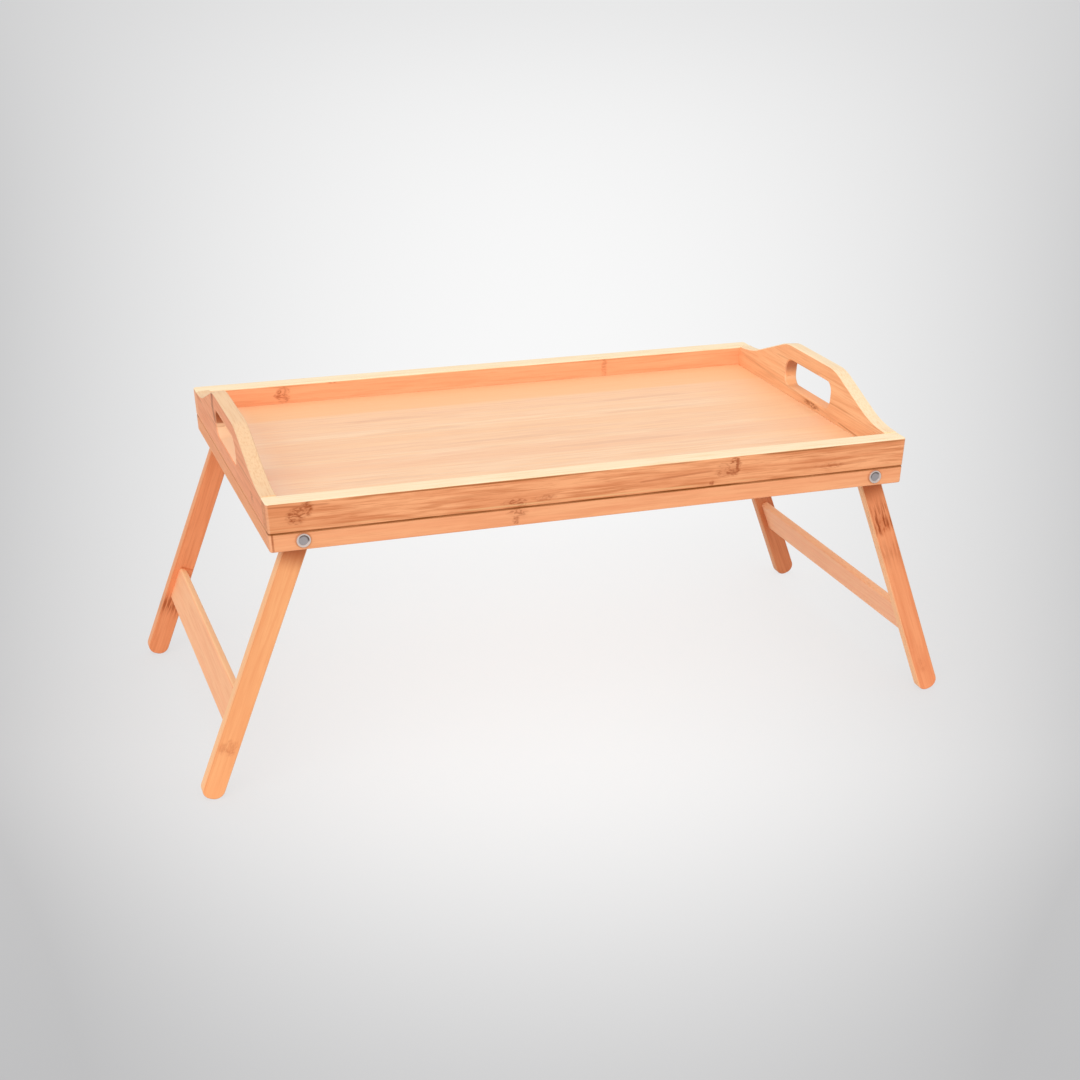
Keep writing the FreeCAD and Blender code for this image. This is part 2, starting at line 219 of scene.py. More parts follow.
# %% [markdown]
# ## Bamboo
# Bamboo boards are glued up from strips of the stem. Each strip is a slightly different colour,
# has dark fibres that run its whole length, and crosses a knuckle of the stem every so often,
# where the fibres swirl and darken. A picture of bamboo could be wrapped on, but it would repeat
# and stretch. Here every mark is worked out from a point's distance along, across and through
# the grain, so that it runs true on every face, the end grain too. The fibres sway a little on
# their way, and a waver keeps the edges of marks uneven.

# %% The way the fibres run
SWAY_LENGTH = 150 * MM
SWAY_SPREAD = 30 * MM
SWAY_WIDTH = 2.4 * MM
WAVER = (30 * MM, 4.5 * MM)      # its length and width


class Bamboo(Finish):
    """A finish that knows which way its fibres run and what colour it has so far."""

    def __init__(self, name, grain_way, width_way, stock, cut, origin):
        super().__init__(name)
        self.stock = stock
        self.cut = cut
        self.grain = {}
        self.colour = stock["light"]
        self.along = self.distance(grain_way, origin)
        self.across = self.distance(width_way, origin)
        self.through = self.distance(Vector(grain_way).cross(Vector(width_way)), origin)
        slow = self.noise(self.along / SWAY_LENGTH, self.across / SWAY_SPREAD,
                          self.through / SWAY_SPREAD + cut["seed"], 1.0)
        self.swayed = self.across + (slow - 0.5) * SWAY_WIDTH
        self.waver = self.streaks(WAVER, 2.0, self.along) - 0.5

    def streaks(self, size, detail, run, curl=0.0):
        """Noise drawn out along a run, in marks of about the given length and width."""
        length, width = size
        return self.noise(run / length, self.swayed / width, self.through / width, detail, curl)

    def blend(self, share, shade):
        """Lays a colour over what is there so far."""
        self.colour = self.mix(share, self.colour, shade)


print("the fibres sway %.1f mm over about %.0f mm" % (SWAY_WIDTH / MM, SWAY_LENGTH / MM))

# %% [markdown]
# The grain itself is four kinds of mark, from broad clouds to fine dashes. They are laid one
# over another, each only where its noise is strong, because one noise with much detail would
# look like marble and not like fibres. A random number for each strip moves its grain along and
# picks its tone, so that neighbours differ.

# %% Grain
GRAIN = {                        # length and width in mm, detail, where it starts and is full, tone
    "cloud": (75, 4.6, 1.0, 0.36, 0.66, "cloud_tone"),
    "band": (46, 2.1, 2.0, 0.46, 0.70, "dark"),
    "fibre": (34, 1.0, 2.0, 0.46, 0.72, "dark"),
    "dash": (12, 0.6, 1.0, 0.58, 0.74, "dark")}
STRIP_SHIFT = 3.7                # how far at most the grain moves from one strip to the next
PIECE_SHIFT = 0.61               # and with each step of a piece's seed
GLUE_LINE = (0.55 * MM, 0.1 * MM)


def lay_grain(wood):
    """Each strip's own tone, and over it the four kinds of mark."""
    cut = wood.cut
    number = (wood.swayed / cut["width"] + cut["start"]).floor()
    luck = wood.chance(number + cut["seed"])
    shifted = wood.along + luck * STRIP_SHIFT + cut["seed"] * PIECE_SHIFT
    wood.blend(luck, wood.stock["second"])
    for kind, (length, width, detail, start, full, shade) in GRAIN.items():
        marks = wood.streaks((length * MM, width * MM), detail, shifted)
        wood.blend(marks.rise(start, full) * wood.stock[kind], wood.stock[shade])
        wood.grain[kind] = marks


def lay_glue_lines(wood):
    """Draws the thin lines where two strips of a panel meet, and gives them back for the relief."""
    width = wood.cut["width"]
    inside = (wood.across / width + wood.cut["start"]).fraction()
    edge = 0.5 - abs(inside - 0.5)
    outer, inner = GLUE_LINE
    lines = edge.rise(outer / width, inner / width) * wood.stock["line"]
    wood.blend(lines, wood.stock["dark"])
    return lines


for kind, (length, width, *_) in GRAIN.items():
    print("%s: %g by %g mm" % (kind, length, width))

# %% [markdown]
# A knuckle is where a leaf once grew: a bruise of short curling strokes, and beside it a dark line
# across the strip. Knuckles could be scattered at random, but where the photograph shows one it is
# listed, as a distance along and across the piece.

# %% Knuckles
# Along the grain, across it, half the length and half the width in mm, and a strength.
Knuckle = namedtuple("Knuckle", "place height length width strength")
STROKE = (5.2 * MM, 2.3 * MM)
STROKE_CURL = 1.1
STROKE_SHOWS = (0.44, 0.62)
BRUISE_EDGE = (1.15, 0.25)       # where a bruise fades out and where it is full
BRUISE_SHARE = 0.20              # how dark it is between its strokes
STROKE_SHARE = 0.66              # and how much darker the strokes are
LINE_PLACE = 0.35                # from the middle of a knuckle, as a share of its length
LINE_LEAN = 0.12
LINE_WIDTH = (2.2 * MM, 0.2 * MM)


def strongest(shares):
    """The largest of several values at each point."""
    most = shares[0]
    for share in shares[1:]:
        most = most.either(share)
    return most


def bruise(wood, strokes, knuckle):
    """How dark one knuckle makes the wood."""
    off_along = (wood.along / MM - knuckle.place) / knuckle.length + wood.waver * 1.6
    off_across = (wood.across / MM - knuckle.height) / knuckle.width + wood.waver * 0.9
    spread = off_along * off_along + off_across * off_across
    inside = spread.rise(*BRUISE_EDGE)
    line = abs(off_along - LINE_PLACE + off_across * LINE_LEAN) * (knuckle.length * MM)
    line = line.rise(*LINE_WIDTH) * inside * (0.5 + strokes * 0.5)
    return (inside * (BRUISE_SHARE + strokes * STROKE_SHARE)).either(line) * knuckle.strength


def mark_knuckles(wood, knuckles):
    """All the knuckles of a piece, the darkest on top."""
    strokes = wood.streaks(STROKE, 2.0, wood.along, STROKE_CURL).rise(*STROKE_SHOWS)
    shares = [bruise(wood, strokes, knuckle) for knuckle in knuckles]
    wood.blend(strongest(shares), wood.stock["knuckle_tone"])


print("a knuckle's strokes are %.1f by %.1f mm" % (STROKE[0] / MM, STROKE[1] / MM))

# %% [markdown]
# On the legs the knuckles run out into flames, long narrow strokes that lean in towards the
# middle of the leg like the feathers of an arrow. The lean comes from adding a multiple of the
# distance off the middle to the distance along, before the noise is drawn. Cracks and joints are
# thin lines from one place to another, fading at both ends.

# %% Flames and cracks
# Distances down the leg in mm, and a strength.
Flames = namedtuple("Flames", "start densest end strength")
# Its run is along or across the grain. Each end has a distance along the run and one off it.
# Those and half its width are in mm.
Crack = namedtuple("Crack", "run start end width strength")
FLAME = (21 * MM, 1.9 * MM)
FLAME_LEAN = 2.2
FLAME_CURL = 0.3
FLAME_SHOWS = (0.43, 0.57)
FLAME_WAVER = 9                  # how ragged the ends of the flames are, in mm
FLAME_BROWN = tone(160, 72, 24)


def mark_flames(wood, places):
    """Flames that gather to a densest place and thin out on both sides of it."""
    leaning = wood.along + abs(wood.swayed) * FLAME_LEAN
    feathers = wood.streaks(FLAME, 2.0, leaning, FLAME_CURL).rise(*FLAME_SHOWS)
    place = wood.along / MM + wood.waver * FLAME_WAVER
    shares = [place.rise(at.start, at.densest) * place.rise(at.end, at.densest)
              * (0.2 + feathers * 0.8) * at.strength for at in places]
    wood.blend(strongest(shares), FLAME_BROWN)


def mark_crack(wood, crack):
    """A thin line from one end to the other."""
    run, offset = wood.along, wood.across
    if crack.run == "across":
        run, offset = offset, run
    share = (run / MM - crack.start[0]) / (crack.end[0] - crack.start[0])
    away = abs(offset / MM - crack.start[1] - share * (crack.end[1] - crack.start[1]))
    line = away.rise(crack.width, crack.width * 0.3) * share.rise(-0.04, 0.06) * share.rise(1.04, 0.94)
    wood.blend(line * (0.7 + wood.waver * 1.2) * crack.strength, wood.stock["knuckle_tone"])


print("flames are %.0f by %.1f mm" % (FLAME[0] / MM, FLAME[1] / MM))

# %% [markdown]
# The walls of the hand slots get a painted light and a painted shade of their own, so the rules for
# edges have to know which points lie in a slot. A slot is a long hole with round corners, and its size
# here is the one it was cut with. A box with soft sides round it finds its walls well enough.

# %% Inside a hand slot
ALONG_TRAY = (1, 0, 0)
ACROSS_TRAY = (0, 1, 0)
UPWARD = (0, 0, 1)
SLOT_HALF = 41.5 * MM            # from the middle of a slot to its end
SLOT_RISE = 11.3 * MM            # and to its upper edge
SLOT_ABOVE_RIM = 2 * MM

slot_z = rim_z + SLOT_ABOVE_RIM


def slot_space(finish):
    """1 inside the hand slot of an end panel."""
    sideways = abs(finish.distance(ACROSS_TRAY)).rise(SLOT_HALF + 2 * MM, SLOT_HALF + 0.5 * MM)
    height = abs(finish.distance(UPWARD) - slot_z)
    return sideways * height.rise(SLOT_RISE + 2 * MM, SLOT_RISE + 0.5 * MM)


print("slots %.1f mm up, %.0f mm long" % (slot_z / MM, 2 * SLOT_HALF / MM))

# %% [markdown]
# Every edge that faces up is cream, partly the pale heart of the stem that the strips' upper edges
# were cut across and partly painted light from above. The sides of the legs and crossbars are pale
# too, partly in their own tone and partly as a painted highlight, and the tray's upright corners get a
# painted highlight. Which way the surface faces is enough to find them, except where an end panel runs
# in between the rails: there the eased edge turns away, and a narrow band keeps the cream whole.

# %% Pale edges and painted light
CREAM = tone(255, 234, 196)
CREAM_SHADE = tone(250, 216, 170)
PALE_SIDE_AND_HIGHLIGHT = tone(253, 206, 156)
PAINTED_CORNER_HIGHLIGHT = tone(252, 190, 150)
CREAM_DEPTH = 3 * MM             # below the rim: cream is whole down to here, gone at twice this
PANEL_END = (133 * MM, 134 * MM, 136 * MM, 137 * MM)     # band across the tray, with soft sides
PANEL_END_DEPTH = (1.3 * MM, 0.7 * MM)


def pale_sides(wood, width_way):
    """The sides that face along the strips' width, pale partly in their own tone and partly as a
    painted highlight.
    """
    sides = abs(wood.facing(width_way)).rise(0.5, 0.85)
    wood.blend(sides * wood.stock["pale_side"], PALE_SIDE_AND_HIGHLIGHT)


def cream_and_painted_top_light(wood):
    """Cream on what faces up at the rim and above it, partly the stem's pale heart and partly painted
    light.
    """
    cream = wood.mix(wood.grain["fibre"].rise(0.40, 0.75), *wood.stock["cream"])
    height = wood.distance(UPWARD)
    top = height.rise(rim_z - 2 * CREAM_DEPTH, rim_z - CREAM_DEPTH)
    up = wood.facing(UPWARD).rise(0.05, 0.4) * top
    aside = abs(wood.distance(ACROSS_TRAY))
    joint = aside.rise(PANEL_END[0], PANEL_END[1]) * aside.rise(PANEL_END[3], PANEL_END[2])
    up = up.either(joint * height.rise(rim_z - PANEL_END_DEPTH[0], rim_z - PANEL_END_DEPTH[1]))
    if wood.stock["slot"]:
        up = up * (1 - slot_space(wood) * 0.7)
    wood.blend(up * wood.stock["pale_top"], cream)


def pale_corners(wood):
    """A painted highlight on the upright corners, which face half along the tray and half across it.
    """
    corner = abs(wood.facing(ALONG_TRAY)) * abs(wood.facing(ACROSS_TRAY))
    wood.blend(corner.rise(0.12, 0.45) * wood.stock["corner"], PAINTED_CORNER_HIGHLIGHT)


print("cream starts %.0f mm below the rim" % (2 * CREAM_DEPTH / MM))

# %% [markdown]
# Where a machined edge was sanded, the lacquer has gathered in a thin brown line, below the rim
# and in the seam between the frames, with a paler line just above the seam. They could be drawn
# evenly, but lacquer gathers unevenly, so the clouds and the waver thin them here and there.

# %% Brown lines
SEAM_BROWN = tone(148, 82, 22)
SEAM_PALE = tone(246, 196, 138)
RIM_LINE_DROP = 1.6 * MM
RIM_LINE = (1.0 * MM, 0.2 * MM)          # where a line fades out and where it is full
SEAM_LINE = (1.25 * MM, 0.4 * MM)
PALE_LINE_RISE = 2.4 * MM
PALE_LINE = (1.0 * MM, 0.3 * MM)


def brown_lines(wood):
    """The line under the rim, and the seam with a pale line just above it."""
    clouds = wood.grain["cloud"]
    height = wood.distance(UPWARD)
    upright = abs(wood.facing(UPWARD)).rise(0.75, 0.35)
    rim = abs(height - (rim_z - RIM_LINE_DROP)).rise(*RIM_LINE) * upright
    rim = rim * clouds.rise(0.42, 0.62) * wood.stock["rim_line"]
    seam = abs(height - seam_z - wood.waver * MM).rise(*SEAM_LINE)
    seam = seam * (0.85 + wood.waver * 1.1) * wood.stock["seam"]
    pale = abs(height - (seam_z + PALE_LINE_RISE)).rise(*PALE_LINE)
    pale = pale * clouds.rise(0.48, 0.62) * (wood.stock["seam"] * 0.5)
    wood.blend(pale, SEAM_PALE)
    wood.blend(rim.either(seam), SEAM_BROWN)


print("the seam's line is %.1f mm wide" % (2 * SEAM_LINE[0] / MM))

# %% [markdown]
# Now the layers go on one over another: grain, glue lines, shades, some of them painted light and
# shade, knuckles and cracks, and then the pale edges, partly painted light, and the brown lines, so
# that what was machined covers what grew. A satin varnish that keeps a little of the grain's relief
# comes last.

# %% Bamboo finish
VARNISH = {"IOR": 1.42, "Specular IOR Level": 0.35}
VARNISH_ROUGHNESS = 0.46
FIBRE_ROUGHNESS = 0.12           # more of it where a fibre comes through
GRAIN_RELIEF = 0.08 * MM


def bamboo(name, grain_way, width_way, stock, cut, marks=(), origin=(0, 0, 0)):
    """Varnished bamboo whose grain runs along grain_way, with strips side by side on width_way."""
    wood = Bamboo(name, grain_way, width_way, stock, cut, origin)
    lay_grain(wood)
    lines = lay_glue_lines(wood)
    for where, strength, shade in stock["shades"]:
        wood.blend(where(wood) * strength, shade)
    knuckles = [mark for mark in marks if isinstance(mark, Knuckle)]
    flames = [mark for mark in marks if isinstance(mark, Flames)]
    if knuckles:
        mark_knuckles(wood, knuckles)
    if flames:
        mark_flames(wood, flames)
    for mark in marks:
        if isinstance(mark, Crack):
            mark_crack(wood, mark)
    pale_sides(wood, width_way)
    cream_and_painted_top_light(wood)
    brown_lines(wood)
    pale_corners(wood)
    fibres = wood.grain["fibre"]
    roughness = VARNISH_ROUGHNESS + fibres * FIBRE_ROUGHNESS
    relief = wood.grain["dash"] * 0.4 + fibres * 0.6 - lines
    return wood.surface(wood.colour, roughness, relief, GRAIN_RELIEF, VARNISH)


print("varnish roughness %.2f to %.2f"
      % (VARNISH_ROUGHNESS, VARNISH_ROUGHNESS + FIBRE_ROUGHNESS))

# %% [markdown]
# Some pieces are shaded where others meet them or where a strip of another tone begins. A shade
# painted by hand would need a picture, so each is a rule: it says, from a point's distances in
# the wood, how much of the shade shows there.

# %% Rules for shades
def behind(start, end):
    """A soft step across the grain, between two distances in mm."""
    return lambda wood: wood.across.rise(start * MM, end * MM)


def beside(start, end):
    """A soft step along the grain, between two distances in mm."""
    return lambda wood: wood.along.rise(start * MM, end * MM)


def between(low, high, soft):
    """A strip of its own tone, between two distances across the grain in mm."""
    return lambda wood: (wood.across.rise((low - soft) * MM, low * MM)
                         * wood.across.rise((high + soft) * MM, high * MM))


def streak(place, height, length, width):
    """A long faint streak round a place, with ragged ends, in mm."""
    def share(wood):
        off_along = (wood.along / MM - place) / length + wood.waver * 1.6
        off_across = (wood.across / MM - height) / width + wood.waver * 2.2
        return (off_along * off_along + off_across * off_across).rise(1.1, 0.2)
    return share


print("rules:", ", ".join(rule.__name__ for rule in (behind, beside, between, streak)))

# %% [markdown]
# Three places need rules of their own. In a hand slot the back end shows end grain, and its top gets a
# painted shade, while the lower walls get a painted light. Round each pivot's head the strip gets a
# painted shade.

# %% Shades at the slots and the pivots
HEAD_SHADE = (6.6 * MM, 5 * MM)  # from a pivot's axis: where the shade ends and where it is full


def axis_distance(finish):
    """How far a point is aside of the nearest pivot's axis, how far above it and how far in all."""
    side = abs(finish.distance(ALONG_TRAY)) - pivot_x
    rise = finish.distance(UPWARD) - pivot_z
    return side, rise, finish.math("SQRT", side * side + rise * rise)


def painted_slot_end_shade(wood):
    """Painted shade on the top of the hand slot's back end wall, which the fibres meet end on."""
    upper = wood.across.rise(slot_z - 5 * MM, slot_z + 5 * MM)
    return wood.facing((0, -1, 0)).rise(0.25, 0.8) * slot_space(wood) * upper


def painted_slot_light(wood):
    """Painted light on the lower walls of the hand slot."""
    inside = 1 - abs(wood.facing(ALONG_TRAY)).rise(0.4, 0.8)
    return inside * slot_space(wood) * wood.across.rise(slot_z + 3 * MM, slot_z - 2 * MM)


def painted_head_shade(wood):
    """Painted shade round each pivot's head."""
    return axis_distance(wood)[2].rise(*HEAD_SHADE)


print("the shade reaches %.1f mm from each pivot's axis" % (HEAD_SHADE[0] / MM))

# %% [markdown]
# ## Grades of bamboo
# The pieces were cut from different stock, so each kind has a grade: five tones, how strongly
# each mark shows, and its shades. The tones are written as screen levels, because they were
# matched to the photograph part by part.

# %% A grade
def grade(light, second, dark, cloud_tone, knuckle_tone, **amounts):
    """The colours of one kind of bamboo and how strongly each detail shows."""
    strengths = {"cloud": 0.5, "band": 0.3, "fibre": 0.3, "dash": 0.3, "line": 0.0,
                 "pale_top": 0.0, "pale_side": 0.0, "rim_line": 0.0, "seam": 0.0, "corner": 0.0,
                 "slot": False, "shades": (), "cream": (CREAM, CREAM_SHADE)}
    strengths.update(amounts)
    return {"light": light, "second": second, "dark": dark, "cloud_tone": cloud_tone,
            "knuckle_tone": knuckle_tone, **strengths}


print("a grade has %d values" % len(grade(CREAM, CREAM, CREAM, CREAM, CREAM)))

# %% [markdown]
# The front rail is caramel, with strong marks. The back rail, which shows its inner face, is
# plainer, and so are the strips of the leg frame. The end strips are a touch warmer than the long
# ones.

# %% Grades of the rails and strips
RAIL = grade(tone(253, 178, 126), tone(249, 172, 120), tone(204, 118, 68), tone(233, 149, 99),
             tone(164, 76, 28), cloud=0.75, band=0.65, fibre=0.5, dash=0.5, pale_top=1.0,
             rim_line=0.7, seam=1.0, corner=0.4,
             shades=((beside(-205, -240), 0.4, tone(218, 132, 80)),))
INNER_RAIL = grade(tone(254, 184, 137), tone(251, 178, 130), tone(235, 153, 106),
                   tone(249, 172, 124), tone(188, 102, 60), band=0.4, pale_top=1.0,
                   rim_line=0.3, seam=0.8, corner=0.4)
STRIP = grade(tone(252, 180, 130), tone(250, 174, 123), tone(228, 144, 96), tone(246, 162, 113),
              tone(172, 90, 46), band=0.4, seam=1.0, corner=0.4,
              shades=((painted_head_shade, 0.5, tone(168, 100, 62)),))
SIDE_STRIP = grade(tone(252, 178, 124), tone(250, 172, 118), tone(228, 142, 92),
                   tone(246, 160, 108), tone(190, 106, 60), band=0.4, seam=0.4)
print("outer rail: clouds %.2f, bands %.2f" % (RAIL["cloud"], RAIL["band"]))

# %% [markdown]
# The end panels are glued up from narrow strips and have the slots' shades. The left one, which
# shows its outer face, is a deeper orange than the right one, and so is its cream top.

# %% Grades of the end panels
PANELS = {"left": grade(tone(255, 175, 127), tone(252, 167, 119), tone(221, 134, 89),
                        tone(246, 157, 107), tone(155, 77, 36), line=0.35, band=0.5,
                        pale_top=0.82, rim_line=0.3, seam=0.55, corner=0.35, slot=True,
                        cream=(tone(243, 211, 168), tone(235, 195, 149)),
                        shades=((painted_slot_light, 0.9, tone(255, 214, 172)),
                                (painted_slot_end_shade, 0.9, tone(150, 82, 46)))),
          "right": grade(tone(251, 197, 148), tone(247, 187, 137), tone(223, 154, 106),
                         tone(243, 176, 126), tone(159, 92, 48), line=0.35, band=0.45,
                         pale_top=0.82, rim_line=0.3, seam=0.55, corner=0.35, slot=True,
                         shades=((painted_slot_light, 0.8, tone(255, 184, 128)),
                                 (painted_slot_end_shade, 0.8, tone(176, 102, 64))))}
print("end panels:", ", ".join(PANELS))

# %% [markdown]
# The board is the palest piece. Its last strips, by the back rail, are in a warmer tone, it gets a
# painted bounce light in the orange of the panel at its right end and a painted light at its left end,
# two strips are a shade deeper, and faint greyish streaks lie on it here and there.

# %% Grade of the board
BOARD_WARM_AND_BOUNCE = tone(255, 196, 142)
BOARD_GREY = tone(232, 180, 146)
BOARD_STREAKS = ((streak(-100, 66, 62, 4), 0.38), (streak(120, 63, 46, 4), 0.35),
                 (streak(-84, 30, 50, 4), 0.32), (streak(110, 30, 48, 4), 0.36),
                 (streak(-20, -11, 75, 3.5), 0.4), (streak(60, -44, 80, 4), 0.35),
                 (streak(-150, -78, 60, 3.5), 0.3))
BOARD_SHADES = ((behind(84, 92), 0.75, BOARD_WARM_AND_BOUNCE),
                # painted orange bounce light from the right end panel
                (beside(150, 246), 0.62, BOARD_WARM_AND_BOUNCE),
                # painted light at the left end, next to the panel
                (beside(-206, -236), 0.7, tone(255, 228, 198)),
                (between(-54, -31, 3), 0.35, tone(248, 192, 154)),
                (between(9, 27, 3), 0.25, tone(250, 196, 150)),
                *((where, strength, BOARD_GREY) for where, strength in BOARD_STREAKS))
BOARD = grade(tone(255, 217, 180), tone(253, 207, 168), tone(240, 187, 150), tone(255, 208, 164),
              tone(218, 164, 126), cloud=0.7, band=0.45, fibre=0.3, dash=0.2, line=0.3,
              shades=BOARD_SHADES)
print("board: %d shades" % len(BOARD_SHADES))

# %% [markdown]
# Each leg comes from its own stem, and the legs go from honey at the front left to brown at the back
# right, partly in the tone of each stem and partly as painted shade on the back legs. Each has a
# painted shade at its top, where it leaves the frame. The crossbars are paler than the legs.

# %% Grades of the legs and crossbars
# painted shade at the top of each leg, under the frame
PAINTED_LEG_TOP_SHADE = tone(176, 92, 46)
LEG_KNUCKLE = tone(190, 86, 32)


def leg_grade(light, dark, top, reach, pale_side):
    """A leg between two tones. The painted shade at its top ends at a reach in mm from the pivot."""
    return grade(light, light, dark, dark, LEG_KNUCKLE, cloud=0.35, band=0.4, fibre=0.35,
                 dash=0.35, pale_side=pale_side, shades=((beside(reach, 12), top, PAINTED_LEG_TOP_SHADE),))


LEGS = {"front_left": leg_grade(tone(252, 178, 120), tone(240, 154, 98), 0.8, 30, 0.6),
        "front_right": leg_grade(tone(246, 160, 109), tone(226, 130, 81), 0.9, 31, 0.7),
        # the back legs' darker tones are partly painted shade
        "back_left": leg_grade(tone(236, 150, 101), tone(212, 120, 72), 0.5, 30, 0.3),
        "back_right": leg_grade(tone(208, 128, 83), tone(185, 100, 60), 0.75, 52, 0.3)}
CROSSBARS = {"left": grade(tone(252, 190, 142), tone(250, 184, 136), tone(236, 162, 116),
                           tone(250, 176, 130), tone(220, 140, 92), band=0.4, pale_side=0.9),
             "right": grade(tone(252, 193, 150), tone(250, 187, 144), tone(238, 166, 124),
                            tone(250, 180, 138), tone(220, 140, 96), band=0.4, pale_side=0.35)}
print("legs:", ", ".join(LEGS))

# %% [markdown]
# ## Dressing the pieces
# Each piece gets its finish in the direction its wood was cut: rails, long strips and board
# along the tray, end panels, end strips and crossbars across it, and legs down their length. One
# material could serve alike pieces, but their marks differ, so each piece of bamboo has its own,
# with a seed that moves its grain. The board and the end panels are many strips wide, and any
# other piece is cut from one wide strip.

# %% Strips and how a piece is dressed
WIDE = 60 * MM


def strips(width, start, seed):
    """Strips of one width across a piece. The start is a share of a strip's width."""
    return {"width": width, "start": start, "seed": seed}


def strip_from(height, seed):
    """One wide strip whose lower edge is just below a height, for a piece that stands upright."""
    return strips(WIDE, 0.1 - height / WIDE, seed)


def dress(node, material):
    """Puts a finish on a made piece."""
    slots = frame["nodes"][node].data.materials
    slots.clear()
    slots.append(material)


print("one wide strip is %.0f mm" % (WIDE / MM))

# %% [markdown]
# The front rail carries the knuckles that the photograph shows on it: two at its left end, two
# with a dark hook right of the middle, a long low one left of the middle, and a few faint ones.
# The low one runs on over the seam into the strip below. Heights are above the floor.

# %% Rails
FRONT_RAIL_MARKS = (
    Knuckle(-229, 216, 7, 8, 0.95), Knuckle(-221, 221, 5, 7, 0.95),
    Knuckle(105, 219, 5, 9, 0.95), Knuckle(97, 217, 8, 7, 0.7),
    Knuckle(-67, 208, 13, 4.5, 0.85), Knuckle(-45, 210, 9, 3, 0.5),
    Knuckle(86, 207, 2.5, 2.5, 0.7), Knuckle(184, 211, 14, 3, 0.45),
    Crack("along", (28, 214), (87, 217), 1.1, 0.45),
    Crack("along", (-250, 224), (-205, 223), 0.9, 0.6),
    Crack("across", (213.5, 106.2), (225, 107.2), 1.6, 0.85),
    Crack("along", (98, 214.5), (106, 212.6), 1.4, 0.7),
    Crack("along", (183, 211), (217, 211.5), 1.0, 0.4))
BACK_RAIL_MARKS = (Knuckle(-179, 218, 7, 8, 1.0), Knuckle(108, 218, 3, 12, 0.5),
                   Knuckle(-137, 226, 5, 1.5, 0.7))

dress("front_rail", bamboo("front_rail_bamboo", ALONG_TRAY, UPWARD, RAIL,
                           strip_from(seam_z, 11), FRONT_RAIL_MARKS))
dress("back_rail", bamboo("back_rail_bamboo", ALONG_TRAY, UPWARD, INNER_RAIL,
                          strip_from(seam_z, 12), BACK_RAIL_MARKS))
print("rails dressed with %d marks" % len(FRONT_RAIL_MARKS + BACK_RAIL_MARKS))

# %% [markdown]
# The long strips of the leg frame lie below the seam, and a thin dark joint shows near the front
# one's left end. The board's strips run the length of the tray and are narrow enough to count.

# %% Long strips and board
STRIP_FOOT = 20 * MM             # how far below the seam the strips' stock begins
FRONT_STRIP_MARKS = (Knuckle(-66, 201, 9, 4, 0.7), Knuckle(-68, 195.5, 3, 4, 0.9),
                     Crack("across", (190, -245.4), (205, -246.3), 1.1, 1.0))
BACK_STRIP_MARKS = (Knuckle(35, 197, 5, 6, 0.6),)

dress("front_lower_rail", bamboo("front_lower_rail_bamboo", ALONG_TRAY, UPWARD, STRIP,
                                 strip_from(seam_z - STRIP_FOOT, 13), FRONT_STRIP_MARKS))
dress("back_lower_rail", bamboo("back_lower_rail_bamboo", ALONG_TRAY, UPWARD, STRIP,
                                strip_from(seam_z - STRIP_FOOT, 14), BACK_STRIP_MARKS))
dress("tray_board", bamboo("tray_board_bamboo", ALONG_TRAY, ACROSS_TRAY, BOARD,
                           strips(20.7 * MM, 0.0, 3)))
print("strips and board dressed")

# %% [markdown]
# The end panels' grain runs across the tray. On the left one a dark line runs from the top down
# to the slot, and on the right one the glue lines below the slot and above it show.

# %% End panels and end strips
PANEL_MARKS = {"left": (Knuckle(-96, 214, 7, 5, 0.5),
                        Crack("across", (238, 50), (252, 46), 7.0, 1.0),
                        Crack("across", (228, 43), (239, 50), 7.0, 0.9)),
               "right": (Knuckle(-10, 214.8, 15, 3, 1.0),
                         Crack("along", (-112, 211), (-60, 213.5), 0.9, 0.65),
                         Crack("along", (-58, 213.6), (126, 222.5), 1.3, 0.28),
                         Crack("along", (-20, 243), (60, 240), 0.9, 0.35))}
for side in ("left", "right"):
    dress(side + "_end_panel", bamboo(side + "_end_panel_bamboo", ACROSS_TRAY, UPWARD,
                                      PANELS[side], strips(20.5 * MM, 0.1, 7),
                                      PANEL_MARKS[side]))
    dress(side + "_lower_rail", bamboo(side + "_lower_rail_bamboo", ACROSS_TRAY, UPWARD,
                                       SIDE_STRIP, strip_from(seam_z - STRIP_FOOT, 15)))
print("end panels and end strips dressed")

# %% [markdown]
# A leg's grain runs down its length, so its places are measured from its pivot, along the leg and off
# its middle line. The splay is the one that the legs were made with. A faint line follows one edge of
# each leg where it was sanded, and the back left leg has a painted shadow line where its crossbar
# meets it.

# %% Legs
LEG_SPLAY = math.radians(20.4)   # outward from upright, with the legs open
EDGE_LINE = Crack("along", (8, 7.8), (205, 7.8), 0.8, 0.4)
# a painted shadow line above the crossbar's top end, on the back left leg
BAR_SHADOW_LINE = Crack("across", (-8.6, 130.6), (2.5, 130.2), 1.2, 0.75)
LEG_MARKS = {
    "front_left": (EDGE_LINE, Knuckle(169, 0, 7, 7.5, 0.42)),
    "front_right": (EDGE_LINE, Knuckle(50, 0, 9, 8, 0.7), Knuckle(186, -1, 8, 5, 0.25),
                    Flames(16, 49, 60, 1.0), Flames(58, 72, 96, 0.3)),
    "back_left": (EDGE_LINE, BAR_SHADOW_LINE, Flames(150, 164, 180, 0.85)),
    "back_right": (EDGE_LINE, Flames(28, 40, 52, 0.4))}
OUTWARD = {"left": -1, "right": 1}
down_legs = {side: Vector((out * math.sin(LEG_SPLAY), 0, -math.cos(LEG_SPLAY)))
             for side, out in OUTWARD.items()}

